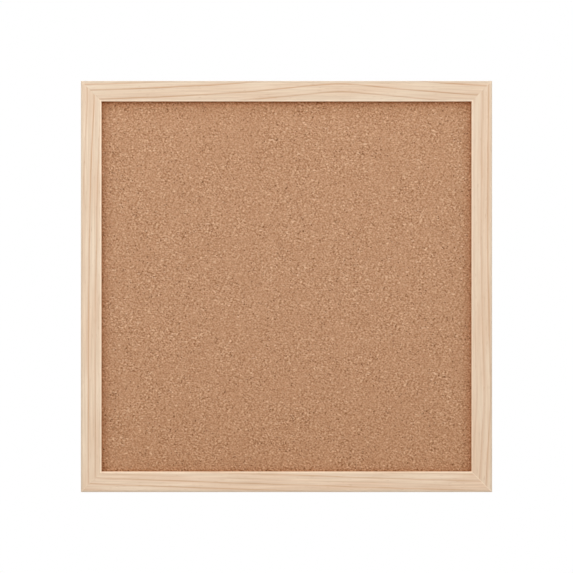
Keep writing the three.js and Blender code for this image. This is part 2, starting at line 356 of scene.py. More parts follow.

# The painted highlight on a rail's inner edge, the painted shade on its outer edges and the wear of its
# mitres: how near in millimetres each is full, and where it ends
INNER_HIGHLIGHT_MM = (0.55, 1.5)
EDGE_SHADE_MM = (0.7, 2.1)
EDGE_SHADE_MOST = 0.55
WORN_MITRE_MM = (0.1, 0.9)

# How pale the wood is worn along the mitres: at the bottom left, at the bottom right and at the top. One
# passes into another across the middle of the board.
MITRE_WORN = (0.14, 0.34, 0.05)
MIDDLE_MM = (-1.0, 1.0)

# The red, green and blue of the frame's inner face, as shares of the rest, where painted warm shade darkens
# it.
# The painted shade ends and is full this far from that face, and starts and is full this far behind the
# front.
INNER_FACE_WARM_SHADE = (1.01, 0.955, 0.895, 1)
WARM_SHADE_FROM_FACE_MM = (1.2, 0.6)
WARM_SHADE_BEHIND_FRONT_MM = (0.05, 0.4)


def every_ring(rings, seed):
    """The rings that show on the front, and others like them for the sides and the back of the rail."""
    pick = random.Random(seed)
    rings = list(rings)

    def beside(ring, way):
        place = ring[0] + way * pick.uniform(*RING_SPACING_MM)
        return place, pick.uniform(*RING_STRENGTH), RING_SOFT_SIDE_MM

    while rings[0][0] > RING_REACH_MM[0]:
        rings.insert(0, beside(rings[0], -1))
    while rings[-1][0] < RING_REACH_MM[1]:
        rings.append(beside(rings[-1], 1))
    return rings


def ring_stops(rings, seed):
    """Stops of a ramp that rises slowly into the dark late wood of each ring and falls quickly out of it."""
    low, high = RING_REACH_MM
    stops = [(0.0, 0.0)]
    for place, strength, soft in every_ring(rings, seed):
        for at, level in ((place - soft, 0.0), (place, strength), (place + RING_SHARP_SIDE_MM, 0.0)):
            share = (at - low) / (high - low)
            if stops[-1][0] < share < 1:
                stops.append((share, level))
    return [(share, (level, level, level, 1)) for share, level in stops[:RING_STOPS_MOST]]


class RailWood(Surface):
    """A rail's wood, with places along the grain, in from the frame's outer edge and back from its front."""

    def __init__(self, name, along, side, seed):
        super().__init__(name)
        self.seed = seed
        self.x, y, self.z = self.place_mm()
        self.length, across = (self.x, self.z) if along == "X" else (self.z, self.x)
        self.outward = self.times(across, side)
        self.from_edge = self.less(BOARD_HALF / MM, self.outward)
        self.depth = self.less(y, FRAME_FRONT / MM)
        self.fibres = self.streaks("fibres")
        self.hairs = self.streaks("hairs")

    def streaks(self, kind):
        """Noise that is stretched along the grain."""
        long_mm, wide_mm, detail, roughness = STREAKS[kind]
        place = self.vector(self.times(self.length, 1 / long_mm), self.times(self.from_edge, 1 / wide_mm),
                            self.total(self.times(self.depth, 1 / wide_mm), self.seed))
        return self.noise(place, detail=detail, roughness=roughness)


def late_wood(s, crown_mm, round_mm, fall_mm, reach_mm, slope, lean_deg, rings):
    """How dark a rail is with the late wood of its growth rings."""
    from_crown = s.less(s.length, crown_mm)
    squares = s.total(s.times(from_crown, from_crown), round_mm ** 2)
    run = s.less(s.math("SQRT", squares), round_mm)
    fallen = s.less(1.0, s.math("EXPONENT", s.times(run, -1 / reach_mm)))
    drop = s.total(s.times(fallen, fall_mm), s.times(from_crown, slope))
    wander = s.total(s.swing(s.streaks("bends"), RING_BENDS_MM), s.swing(s.streaks("wavers"), RING_WAVERS_MM))
    slant = s.times(s.depth, math.tan(math.radians(lean_deg)))
    radius = s.total(s.from_edge, slant, s.times(drop, -1), wander)
    place = s.remap(radius, RING_REACH_MM, smooth=False)
    late = s.channel(s.ramp(place, ring_stops(rings, s.seed), ease=True))
    return s.times(late, s.remap(s.streaks("fading"), NOISE_MIDDLE, RING_FADING))


def sawn_wood(s, late, tones, warm, streaky):
    """A rail's colour before it is worn: pale and warm wood, growth rings, resin flecks and fine streaks."""
    whole_length = (-BOARD_HALF / MM, BOARD_HALF / MM)
    # Along the stiles the tone is partly painted shade and light, darker toward the top
    tone, warmth = (s.remap(s.length, whole_length, ends, smooth=False) for ends in (tones, warm))
    warmth = s.total(warmth, s.remap(s.streaks("clouds"), NOISE_MIDDLE, (0.0, CLOUD_MOST)))
    wood = s.mix(warmth, PINE_PALE, PINE_WARM)
    wood = s.mix(late, wood, PINE_LATE)
    wood = s.mix(s.remap(s.streaks("flecks"), FLECKS_FROM, (0.0, FLECK_MOST)), wood, PINE_FLECK)
    streak = s.total(s.swing(s.fibres, FIBRE_STRENGTH), s.swing(s.streaks("stripes"), streaky),
                     s.swing(s.hairs, FIBRE_STRENGTH))
    levels = s.vector(*(s.total(s.times(streak, share), tone) for share in STREAK_SHARES))
    return s.mix(1.0, wood, levels, blend="MULTIPLY")


def wood_with_painted_light_and_wear(s, wood, paling):
    """A rail's colour: painted highlight and shade at its edges, painted warm shade inside the lip, worn
    mitres.
    """
    uneven = s.swing(s.streaks("wear"), 1.0)
    from_opening = s.less(RAIL_FACE / MM, s.from_edge)
    from_face = s.math("MINIMUM", s.depth, s.less((FRAME_BACK - FRAME_FRONT) / MM, s.depth))
    inner_edge = s.total(s.distance(from_opening, s.depth), uneven)
    outer_edge = s.total(s.distance(s.from_edge, from_face), uneven)
    # A painted highlight along the inner edge, and painted shade along the outer edges
    wood = s.mix(s.remap(inner_edge, INNER_HIGHLIGHT_MM, (paling, 0.0)), wood, PINE_HIGHLIGHT_AND_WEAR)
    wood = s.mix(s.remap(outer_edge, EDGE_SHADE_MM, (EDGE_SHADE_MOST, 0.0)), wood, PINE_EDGE_SHADE)
    # Painted warm shade on the inner face of the lip
    warm_shaded = s.times(s.remap(from_opening, WARM_SHADE_FROM_FACE_MM), s.remap(s.depth, WARM_SHADE_BEHIND_FRONT_MM))
    wood = s.mix(warm_shaded, wood, INNER_FACE_WARM_SHADE, blend="MULTIPLY")
    from_mitre = s.total(s.less(s.outward, s.math("ABSOLUTE", s.length)), uneven)
    lower_left, lower_right, upper = MITRE_WORN
    lower = s.remap(s.x, MIDDLE_MM, (lower_left, lower_right))
    worn_most = s.remap(s.z, MIDDLE_MM, (lower, upper))
    return s.mix(s.remap(from_mitre, WORN_MITRE_MM, (worn_most, 0.0)), wood, PINE_HIGHLIGHT_AND_WEAR)


def pine(name, along, side, tones, warm, streaky, paling, seed, **sawing):
    """Pale sanded pine with its grain, its worn mitres, and painted highlight and shade at its edges."""
    s = RailWood(name, along, side, seed)
    late = late_wood(s, **sawing)
    wood = wood_with_painted_light_and_wear(s, sawn_wood(s, late, tones, warm, streaky), paling)
    relief = s.total(s.fibres, s.times(s.hairs, 0.5), s.times(late, 0.8))
    rough = s.remap(s.fibres, (0.2, 0.8), (0.52, 0.66), smooth=False)
    return s.set(Base_Color=wood, Roughness=rough, Normal=s.bump(relief, 0.05), Specular_IOR_Level=0.35)


# The cork's grit is turned and a little longer across than up: what it takes of x and of z each way
GRIT_ACROSS = (0.7, -0.33)
GRIT_UP = (0.33, 0.9)

# Pores and chips run deep into the sheet, because they are laid out by this share of the depth
CORK_DEPTH_SHARE = 0.2

# How the cork's red, green and blue change near the frame, each over a distance in millimetres: painted shade
# in the crook of the lip, darkest along the top, painted warm shade at the sides and below the top rail, and
# painted warm light just below the top rail
LIP_SHADE = (1.9, (0.75, 0.67, 0.59, 1))
TOP_LIP_SHADE = (1.3, (0.8, 0.7, 0.6, 1))
SIDE_SHADE = (9.0, (0.975, 0.905, 0.855, 1))
TOP_SHADE = (14.0, (0.955, 0.915, 0.86, 1))
TOP_PAINTED_LIGHT = (6.0, (1.2, 1.1, 1.05, 1))
LIP_UNEVEN_MM = 2.0

# How they change down to the foot of the cork, from this share of the way up from its middle
FOOT_SHADE = (0.958, 0.914, 0.866, 1)
FOOT_SHADE_START = 0.2


def bark(s, place, mottle, grit):
    """The colour of cork without its pores: light and dark by grain, and redder or greyer in places."""
    cloud = s.noise(place, scale=0.12, detail=1.0, roughness=1.0)
    bits = s.channel(s.cells(s.warped(place, scale=1.8, reach=0.7), scale=1.4)["Color"])
    tone = s.total(s.swing(s.attribute("granule"), 0.1), s.swing(bits, 0.33), s.swing(grit, 1.06),
                   s.swing(mottle, 0.3), s.swing(cloud, 0.15))
    patches = s.remap(s.noise(place, scale=0.09, detail=1.0), NOISE_MIDDLE, (0.58, 1.12), smooth=False)
    colour = s.ramp(s.total(s.times(tone, patches), 0.5), CORK_TONES)
    hue = s.noise(place, scale=0.6, detail=1.0)
    colour = s.mix(s.remap(hue, (0.5, 0.75), (0.0, 0.3)), colour, CORK_RED)
    return s.mix(s.remap(hue, (0.5, 0.25), (0.0, 0.3)), colour, CORK_GREY)


def shade_of_frame(s, colour, x, z, grit):
    """The cork's colour with painted shade and painted warm light near the frame, and darker toward its foot.
    """
    half = OPENING_HALF / MM
    from_side, from_end = (s.less(half, s.math("ABSOLUTE", way)) for way in (x, z))
    from_top = s.less(half, z)
    from_lip = s.total(s.math("MINIMUM", from_side, from_end), s.swing(grit, LIP_UNEVEN_MM))
    for distance, (reach, tint) in ((from_lip, LIP_SHADE), (from_top, TOP_LIP_SHADE), (from_side, SIDE_SHADE),
                                    (from_top, TOP_SHADE), (from_top, TOP_PAINTED_LIGHT)):
        colour = s.mix(s.remap(distance, (0.0, reach), (1.0, 0.0)), colour, tint, blend="MULTIPLY")
    toward_foot = s.remap(z, (FOOT_SHADE_START * half, -half), smooth=False)
    return s.mix(s.times(toward_foot, toward_foot), colour, FOOT_SHADE, blend="MULTIPLY")


def pressed_cork():
    """Pressed cork: the mesh gives the granules' tones and borders, and pores and pale chips lie on it."""
    s = Surface("pressed_cork")
    x, y, z = s.place_mm()
    place = s.vector(x, y, z)
    mottle = s.noise(place, scale=2.2, detail=3.0, roughness=0.6)
    across, up = (s.total(s.times(x, of_x), s.times(z, of_z)) for of_x, of_z in (GRIT_ACROSS, GRIT_UP))
    grit = s.noise(s.vector(across, 0.0, up), scale=0.86, detail=0.0)

    depth = s.times(y, CORK_DEPTH_SHARE)
    pores = s.spots(s.warped(s.vector(x, depth, z), scale=1.3, reach=1.5), scale=0.42, share=0.5, size=0.33)
    pores = s.times(pores, s.remap(s.noise(place, scale=0.16, detail=1.0), (0.4, 0.6), (0.35, 1.0)))
    chip_place = s.warped(s.vector(s.times(x, 0.8), depth, s.times(z, 1.4)), scale=1.1, reach=1.5)
    chips = s.spots(chip_place, scale=0.33, share=0.2, size=0.26)
    seams = s.remap(s.total(s.attribute("border"), s.swing(mottle, 0.4)), (0.75, 1.05), (0.0, 0.55))
    open_seams = s.times(seams, s.remap(s.noise(place, scale=0.4, detail=1.0), (0.38, 0.62), (0.08, 1.0)))

    colour = bark(s, place, mottle, grit)
    colour = s.mix(s.times(pores, 0.88), colour, CORK_PORE)
    colour = s.mix(s.times(chips, 0.65), colour, CORK_PALE)
    colour = s.mix(open_seams, colour, CORK_DARK)
    # Painted shade and painted warm light near the frame
    colour = shade_of_frame(s, colour, x, z, grit)
    relief = s.total(s.times(mottle, 0.7), s.times(grit, 0.6), s.times(pores, -0.8))
    return s.set(Base_Color=colour, Roughness=0.92, Normal=s.bump(relief, 0.2), Specular_IOR_Level=0.2)


def kraft_paper():
    """Unbleached paper: fibres that lie mostly one way in a soft felt, and small dark shives."""
    s = Surface("kraft_paper_sheet")
    x, y, z = s.place_mm()
    fibres = s.noise(s.vector(s.times(x, 0.9), y, s.times(z, 3.2)), detail=4.0, roughness=0.7, distortion=0.8)
    felt = s.noise(s.vector(x, y, z), scale=1.8, detail=4.0, roughness=0.7)
    cloud = s.noise(s.vector(x, y, z), scale=0.035, detail=3.0)
    tone = s.total(s.times(fibres, 0.5), s.times(felt, 0.35), s.times(cloud, 0.15))
    colour = s.ramp(tone, PAPER_TONES)
    drawn_out = s.vector(s.times(x, 0.5), y, s.times(z, 0.16))
    shives = s.spots(drawn_out, scale=0.9, share=0.2, size=0.16, soft=0.02)
    colour = s.mix(s.times(shives, 0.5), colour, PAPER_SHIVE)
    relief = s.total(fibres, felt)
    return s.set(Base_Color=colour, Roughness=0.85, Normal=s.bump(relief, 0.04), Specular_IOR_Level=0.25)


def softboard():
    """Soft fibreboard: felted brown fibres with lighter bundles."""
    s = Surface("soft_fibreboard")
    x, y, z = s.place_mm()
    felt = s.noise(s.vector(x, s.times(y, 2.0), z), scale=1.1, detail=6.0, roughness=0.7, distortion=0.6)
    colour = s.ramp(felt, FELT_TONES)
    return s.set(Base_Color=colour, Roughness=0.95, Normal=s.bump(felt, 0.3))


def strap_wear(s, x, z):
    """The long edges of a strap."""
    from_middle = s.math("ABSOLUTE", s.less(s.math("ABSOLUTE", x), HANGER_X / MM))
    return s.remap(from_middle, ((STRAP_WIDTH / 2 - STRAP_WEAR) / MM, STRAP_WIDTH / 2 / MM))


def ring_wear(s, x, z):
    """The bow of a ring, which hangs on the hook."""
    bow = HANGER_Z - RING_ARM - RING_WIDTH / 2
    return s.remap(z, ((bow + RING_WEAR) / MM, bow / MM))


def screw_wear(s, x, z):
    """The rim of a screw's head and the mouth of its recess, where the driver slips."""
    radius = s.from_axis(x, z, HANGER_X, SCREW_Z)
    rim = s.remap(radius, ((HEAD_RADIUS - HEAD_WEAR) / MM, HEAD_RADIUS / MM))
    return s.math("MAXIMUM", rim, s.remap(radius, (RECESS_LENGTH / 2 / MM, 0.0), (0.0, RECESS_WORN)))


BARE_ROUGHNESS = 0.42
ZINC_ROUGHNESS = 0.3


def steel(name, bright, dull, roughness, wear=None):
    """Steel or its plating: a faint drawn grain, a soft mottling from dull to bright, and worn places that
    are paler.
    """
    s = Surface(name)
    x, y, z = s.place_mm()
    grain = s.noise(s.vector(s.times(x, 9.0), s.times(y, 9.0), s.times(z, 1.2)), detail=3.0)
    mottle = s.noise(s.vector(x, y, z), scale=0.9, detail=4.0, roughness=0.6)
    colour = s.mix(s.remap(mottle, (0.35, 0.65)), dull, bright)
    rough = s.total(s.remap(mottle, NOISE_MIDDLE, (roughness - 0.06, roughness + 0.08)), s.times(grain, 0.05))
    if wear:
        paling = s.remap(s.total(wear(s, x, z), s.swing(mottle, 0.9)), (0.3, 0.8))
        colour = s.mix(s.times(paling, 0.7), colour, STEEL_RUBBED)
        rough = s.total(rough, s.times(paling, -0.1))
    return s.set(Base_Color=colour, Metallic=1.0, Roughness=rough, Normal=s.bump(grain, 0.01))


def soft_rubber():
    """Moulded rubber: nearly black, with a fine bloom, dull grey scuffs and a pebbled skin."""
    s = Surface("moulded_rubber")
    x, y, z = s.place_mm()
    place = s.vector(x, y, z)
    bloom = s.noise(place, scale=0.8, detail=4.0, roughness=0.6)
    colour = s.ramp(bloom, RUBBER_TONES)
    rim = ((BUMPER_RADIUS - BUMPER_WEAR) / MM, BUMPER_RADIUS / MM)
    edge = s.remap(s.from_axis(x, z, BUMPER_X, BUMPER_Z), rim, (0.0, RIM_SCUFFED))
    scuffing = s.noise(place, scale=1.7, detail=5.0, roughness=0.7, distortion=1.2)
    scuffs = s.remap(s.total(scuffing, edge), (0.55, 0.68))
    colour = s.mix(s.times(scuffs, 0.45), colour, RUBBER_SCUFF)
    skin = s.noise(place, scale=7.0, detail=2.0)
    rough = s.total(s.remap(bloom, NOISE_MIDDLE, (0.5, 0.62)), s.times(scuffs, 0.2))
    return s.set(Base_Color=colour, Roughness=rough, Normal=s.bump(skin, 0.03), Specular_IOR_Level=0.4)


def floor_paint():
    """Pale paint, seen brighter than it is lit, which keeps the shadows on it."""
    s = Surface("floor_paint")
    glow = s.add("ShaderNodeEmission").outputs[0]
    s.feed(s.output, s.blend_where_seen(s.shader.outputs["BSDF"], glow, FLOOR_GLOW))
    return s.set(Base_Color=FLOOR_PALE, Roughness=0.9, Specular_IOR_Level=0.1)


# Mesh helpers

def linked_object(name, data):
    piece = bpy.data.objects.new(name, data)
    bpy.context.scene.collection.objects.link(piece)
    return piece


def new_piece(name, mesh, material, body, slot, *nodes):
    """A shown object from a mesh, riding on a body and standing for its CAD nodes."""
    piece = linked_object(name, mesh)
    mesh.materials.append(material)
    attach(piece, body)
    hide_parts(*nodes)
    return piece


def mesh_from(work, name, is_smooth=lambda face: True):
    """A mesh from a bmesh, its faces turned outward, and shaded smooth where is_smooth says so."""
    bmesh.ops.recalc_face_normals(work, faces=work.faces)
    for face in work.faces:
        face.smooth = is_smooth(face)
    mesh = bpy.data.meshes.new(name)
    work.to_mesh(mesh)
    work.free()
    return mesh


def add_rows(work, rows, closed=True):
    """Faces between rows of points. Each row is closed round unless told not to; one point makes a cap."""
    made = [[work.verts.new(point) for point in row] for row in rows]
    for one, two in zip(made, made[1:]):
        count = max(len(one), len(two))
        for k in range(count if closed else count - 1):
            n = (k + 1) % count
            corners = [one[k % len(one)], one[n % len(one)], two[n % len(two)], two[k % len(two)]]
            work.faces.new(list(dict.fromkeys(corners)))
    return made


def circle(radius, y, steps, centre):
    """A row of points round a line along Y through the centre, or the one point of no radius."""
    around = arc(centre, radius, 0, 2 * math.pi, steps)[:-1] if radius else [centre]
    return [(x, y, z) for x, z in around]


def arc(centre, radius, start, stop, steps):
    """Points along an arc in a plane; the angles are in radians."""
    turns = [start + (stop - start) * k / steps for k in range(steps + 1)]
    return [(centre[0] + radius * math.cos(t), centre[1] + radius * math.sin(t)) for t in turns]


def smoothing_tree():
    """Geometry nodes that shade a mesh smooth except across its sharp edges."""
    tree = bpy.data.node_groups.new("smooth_but_sharp_edges", "GeometryNodeTree")
    for way in ("INPUT", "OUTPUT"):
        tree.interface.new_socket("Geometry", in_out=way, socket_type="NodeSocketGeometry")
    nodes = Nodes(tree)
    shape = nodes.add("NodeGroupInput").outputs[0]
    shape = nodes.add("GeometryNodeSetShadeSmooth", shape, domain="FACE").outputs[0]
    angle = nodes.add("GeometryNodeInputMeshEdgeAngle").outputs["Unsigned Angle"]
    sharp = nodes.add("FunctionNodeCompare", angle, SHARP_ANGLE, operation="GREATER_THAN").outputs[0]
    shape = nodes.add("GeometryNodeSetShadeSmooth", shape, sharp, False, domain="EDGE").outputs[0]
    nodes.add("NodeGroupOutput", shape)
    return tree


SHARP_ANGLE = math.radians(35)
WELD_DISTANCE = 1e-6
BEVEL_SEGMENTS = 2
smoothing = smoothing_tree()

# How wide the edges of each kind of piece are softened
RAIL_EDGE_MM = 0.12
NAIL_EDGE_MM = 0.06
STRAP_EDGE_MM = 0.16
SCREW_EDGE_MM = 0.04


def smooth(piece):
    """Shades a piece smooth except across its sharp edges."""
    piece.modifiers.new("smooth", "NODES").node_group = smoothing


def soften(piece, width_mm):
    """Rounds a piece's sharp edges a little and shades it smooth."""
    weld = piece.modifiers.new("weld", "WELD")
    weld.merge_threshold = WELD_DISTANCE
    bevel = piece.modifiers.new("edges", "BEVEL")
    bevel.width = width_mm * MM
    bevel.segments = BEVEL_SEGMENTS
    bevel.limit_method = "ANGLE"
    bevel.angle_limit = SHARP_ANGLE
    smooth(piece)


def dress(node, material, edge_mm=0.0):
    """Gives a CAD node its material and, where an edge width is given, softer edges."""
    piece = frame["nodes"][node]
    piece.data.materials.clear()
    piece.data.materials.append(material)
    if edge_mm:
        soften(piece, edge_mm)


def closed_sheet(work, name, far_y):
    """The mesh of an open sheet, its rim carried straight back to far_y and closed there by one large face.
    Only the sheet's own small faces, which look along Y, are shaded smooth."""
    rim = [edge for edge in work.edges if edge.is_boundary]
    made = bmesh.ops.extrude_edge_only(work, edges=rim)["geom"]
    for part in made:
        if isinstance(part, bmesh.types.BMVert):
            part.co.y = far_y
    bmesh.ops.holes_fill(work, edges=[edge for edge in work.edges if edge.is_boundary])
    return mesh_from(work, name, lambda face: abs(face.normal.y) > 0.5 and len(face.verts) <= 4)


# Cork sheet. Granules lie on a jittered triangular lattice; the corner between three granules is their mean.
# Jitters are shares of the spacing, and a crevice or a pit has a share of its depth that is in its range.
GRANULE_SPACING = 1.7 * MM
GRANULE_JITTER = 0.34
CORNER_JITTER = 0.1
CREVICE_DEPTH = 0.16 * MM
CREVICE_RANGE = (0.25, 1.4)
GRANULE_HEIGHT_RANGE = 0.07 * MM
PIT_SHARE = 0.012
PIT_DEPTH = 0.35 * MM
PIT_RANGE = (0.4, 1.0)
# Pits are painted darker by this share of their tone, as shade in a hollow
PIT_PAINTED_SHADE = 0.3
JOINED_SHARE = 0.3
LIP_MARGIN = 0.4 * MM


class Granules:
    """The lattice of granule centres, and of the corners between them, over the whole sheet."""

    def __init__(self, low, high, seed):
        self.random = np.random.default_rng(seed)
        row_step = GRANULE_SPACING * math.sqrt(3) / 2
        self.columns = int((high.x - low.x) / GRANULE_SPACING) + 1
        self.rows = int((high.z - low.z) / row_step) + 1
        column, row = np.meshgrid(np.arange(self.columns), np.arange(self.rows))
        width = (self.columns - 0.5) * GRANULE_SPACING
        height = (self.rows - 1) * row_step
        self.x = (column + 0.5 * (row % 2)) * GRANULE_SPACING + (low.x + high.x - width) / 2
        self.z = row * row_step + (low.z + high.z - height) / 2
        self.x += self.jitter(self.x.shape, GRANULE_JITTER)
        self.z += self.jitter(self.z.shape, GRANULE_JITTER)
        self.corners = np.stack([self.corners_of(0), self.corners_of(1)])

    def jitter(self, shape, share):
        return self.random.uniform(-share, share, shape) * GRANULE_SPACING

    def corners_of(self, kind):
        """The corners between each two rows: kind 0 has two granules below it, kind 1 two above."""
        rows, columns = self.rows - 1, self.columns - 1
        corner = np.zeros((rows, columns, 2))
        for row in range(rows):
            for axis, centre in enumerate((self.x, self.z)):
                this, above = centre[row], centre[row + 1]
                odd = row % 2
                pair, one, start = (above, this, 1 - odd) if kind else (this, above, odd)
                corner[row, :, axis] = (pair[:-1] + pair[1:] + one[start:][:columns]) / 3
        return corner + self.jitter(corner.shape, CORNER_JITTER)

    def ring(self, row, column):
        """The six corners round a granule, in order, as (kind, row, column)."""
        odd = row % 2
        above = ((0, row, column), (1, row, column - 1 + odd), (0, row, column - 1))
        below = ((1, row - 1, column - 1), (0, row - 1, column - 1 + odd), (1, row - 1, column))
        return above + below

    def tones(self):
        """A tone for each granule. Some are shared with a neighbour, so that granules vary in size."""
        tone = self.random.uniform(0, 1, self.x.shape)
        joined = self.random.uniform(0, 1, self.x.shape) < JOINED_SHARE
        tone[:, 1:][joined[:, 1:]] = tone[:, :-1][joined[:, 1:]]
        return tone


def cork_mesh():
    low, high = CORK_BOX
    lattice = Granules(low, high, seed=5)
    pick = lattice.random
    shape = lattice.x.shape
    tone = lattice.tones()
    sink = pick.uniform(0, GRANULE_HEIGHT_RANGE, shape)
    pit = pick.uniform(0, 1, shape) < PIT_SHARE
    sink[pit] += PIT_DEPTH * pick.uniform(*PIT_RANGE, shape)[pit]
    # Painted shade in the pits
    tone[pit] *= PIT_PAINTED_SHADE
    corner_sink = CREVICE_DEPTH * pick.uniform(*CREVICE_RANGE, lattice.corners.shape[:3])

    def surface(x, z, depth):
        """Points on the front, sunk this deep but flat where the frame's lip covers them."""
        inside = OPENING_HALF - np.maximum(np.abs(x), np.abs(z))
        y = low.y + depth * np.clip(inside / LIP_MARGIN, 0, 1)
        return np.stack([x.ravel(), y.ravel(), z.ravel()], axis=1)

    corners = surface(lattice.corners[..., 0], lattice.corners[..., 1], corner_sink)
    centres = surface(lattice.x, lattice.z, sink)
    points = np.concatenate([corners, centres])
    _, corner_rows, corner_columns = lattice.corners.shape[:3]

    faces, face_tones = [], []
    for row in range(1, lattice.rows - 1):
        for column in range(1, lattice.columns - 1):
            ring = [(k * corner_rows + r) * corner_columns + c for k, r, c in lattice.ring(row, column)]
            centre = len(corners) + row * lattice.columns + column
            for first, second in zip(ring, ring[1:] + ring[:1]):
                faces.append((centre, first, second))
                face_tones.append(tone[row, column])
    mesh = bpy.data.meshes.new("granules")
    mesh.from_pydata(points.tolist(), [], faces)
    mesh.attributes.new("granule", "FLOAT", "FACE").data.foreach_set("value", np.float32(face_tones))
    border = np.float32(np.arange(len(points)) < len(corners))
    mesh.attributes.new("border", "FLOAT", "POINT").data.foreach_set("value", border)
    work = bmesh.new()
    work.from_mesh(mesh)
    bmesh.ops.delete(work, geom=[v for v in work.verts if not v.link_faces], context="VERTS")
    return closed_sheet(work, "cork_sheet_granules", high.y)


# Paper liner, glued to the core and slightly cockled. A wave is its turns across, its turns up and its start,
# and each wave is weaker than the one before.
LINER_STEPS = 90
COCKLE_DEPTH = 0.22 * MM
COCKLE_WAVES = ((3.1, 1.7, 0.4), (1.3, 4.2, 2.1), (5.6, 3.4, 4.0), (2.2, 7.1, 1.1))
FLAT_MARGIN = 12 * MM


def liner_mesh():
    low, high = LINER_BOX

    def sunk(x, z):
        waves = [math.sin(math.pi * (across * x + up * z) / high.x + start) / (k + 2)
                 for k, (across, up, start) in enumerate(COCKLE_WAVES)]
        inside = (OPENING_HALF - max(abs(x), abs(z))) / FLAT_MARGIN
        return COCKLE_DEPTH * (0.5 + 0.5 * math.tanh(sum(waves))) * min(max(inside, 0), 1)

    ticks = [low.x + (high.x - low.x) * k / LINER_STEPS for k in range(LINER_STEPS + 1)]
    work = bmesh.new()
    add_rows(work, [[(x, high.y - sunk(x, z), z) for x in ticks] for z in ticks], closed=False)
    return closed_sheet(work, "backing_liner_sheet", low.y)


# Hanger strap: a flat blank with two rounded ends, each with a screw hole, folded over the ring's wire
STRAP_WIDTH = STRAP_BOX[1].x - STRAP_BOX[0].x
STRAP_LOW = STRAP_BOX[0].z
HANGER_X, _, HANGER_Z = RING_PIVOTS["right_ring"]
STRAP_LENGTH = HANGER_Z - STRAP_LOW
SCREW_Z = (SCREW_BOX[0].z + SCREW_BOX[1].z) / 2
SEAM_GAP = 0.04 * MM
BLANK_ARC_STEPS = 10
HOLE_STEPS = 40
FOLD_STEPS = 44
STRAP_WEAR = 0.7 * MM


class Fold:
    """The middle line of the folded strip, seen from the side: out is away from the wood, up is along Z."""

    def __init__(self):
        half = STRIP_THICKNESS / 2
        self.loop_radius = LOOP_BORE_RADIUS + half
        self.loop_out = LOOP_BORE_RADIUS + STRIP_THICKNESS
        self.fillet_radius = STRAP_FILLET_RADIUS + half
        self.crease_out = STRAP_FILLET_RADIUS + 2 * STRIP_THICKNESS
        reach = self.loop_radius + self.fillet_radius
        side = self.crease_out - self.loop_out
        self.crease_drop = math.sqrt(reach ** 2 - side ** 2)
        self.meeting = math.atan2(-self.crease_drop, side)
        self.back = STRAP_LENGTH
        self.loop = self.loop_radius * (math.pi - self.meeting)
        self.fillet = self.fillet_radius * -self.meeting
        self.front = STRAP_LENGTH - self.crease_drop

    def at(self, along):
        """The point at this distance along the strip, and the direction out of the fold there."""
        if along <= self.back:
            return (STRIP_THICKNESS / 2, along - STRAP_LENGTH), (-1, 0)
        along -= self.back
        if along <= self.loop:
            turn = math.pi - along / self.loop_radius
            out, up = math.cos(turn), math.sin(turn)
            return (self.loop_out + self.loop_radius * out, self.loop_radius * up), (out, up)
        along -= self.loop
        if along <= self.fillet:
            turn = self.meeting + math.pi + along / self.fillet_radius
            out, up = math.cos(turn), math.sin(turn)
            point = (self.crease_out + self.fillet_radius * out, self.fillet_radius * up - self.crease_drop)
            return point, (-out, -up)
        along -= self.fillet
        return (1.5 * STRIP_THICKNESS, -self.crease_drop - along), (1, 0)


def add_blank_end(work, tip, join, row):
    """One end of the blank in the plane z = 0, rounded at its tip and open along the given row of points."""
    toward = 1 if join > tip else -1
    side, radius = STRAP_WIDTH / 2, STRAP_CORNER_RADIUS
    right = arc((side - radius, tip + toward * radius), radius, 0, -toward * math.pi / 2, BLANK_ARC_STEPS)
    left = [(-x, y) for x, y in reversed(right)]
    outline = [row[1]] + [work.verts.new((x, y, 0)) for x, y in right + left] + [row[0]]
    hole_centre = (0, tip + toward * (SCREW_Z - STRAP_LOW))
    around = arc(hole_centre, SCREW_HOLE_RADIUS, 0, 2 * math.pi, HOLE_STEPS)[:-1]
    hole = [work.verts.new((x, y, 0)) for x, y in around]
    edges = [work.edges.new(pair) for pair in zip(outline, outline[1:])]
    edges += [work.edges.new(pair) for pair in zip(hole, hole[1:] + hole[:1])]
    edges.append(work.edges.get((row[0], row[1])))
    bmesh.ops.triangle_fill(work, use_beauty=True, edges=edges)


def strap_mesh(side):
    fold = Fold()
    first, last = fold.back - fold.crease_drop, fold.back + fold.loop + fold.fillet
    half = STRAP_WIDTH / 2
    work = bmesh.new()
    bends = [first + (last - first) * k / FOLD_STEPS for k in range(FOLD_STEPS + 1)]
    rows = add_rows(work, [[(-half, at, 0), (half, at, 0)] for at in bends], closed=False)
    add_blank_end(work, 0, first, rows[0])
    add_blank_end(work, last + fold.front, last, rows[-1])
    made = bmesh.ops.extrude_face_region(work, geom=work.faces[:])["geom"]
    thickness = STRIP_THICKNESS - SEAM_GAP
    for vertex in work.verts:
        vertex.co.z = -thickness / 2
    for part in made:
        if isinstance(part, bmesh.types.BMVert):
            part.co.z = thickness / 2
    for vertex in work.verts:
        across, along, height = vertex.co
        (out, up), (way_out, way_up) = fold.at(along)
        out += way_out * height
        up += way_up * height
        vertex.co = (across + RING_PIVOTS[side + "_ring"][0], FRAME_BACK + out, HANGER_Z + up)
    return mesh_from(work, side + "_strap_folded")


# Ring wire. The chamfer of its ends is a share of its radius.
WIRE_SIDES = 24
BEND_STEPS = 10
BOW_STEPS = 48
WIRE_END_CHAMFER = 0.2
RING_WEAR = 3.0 * MM


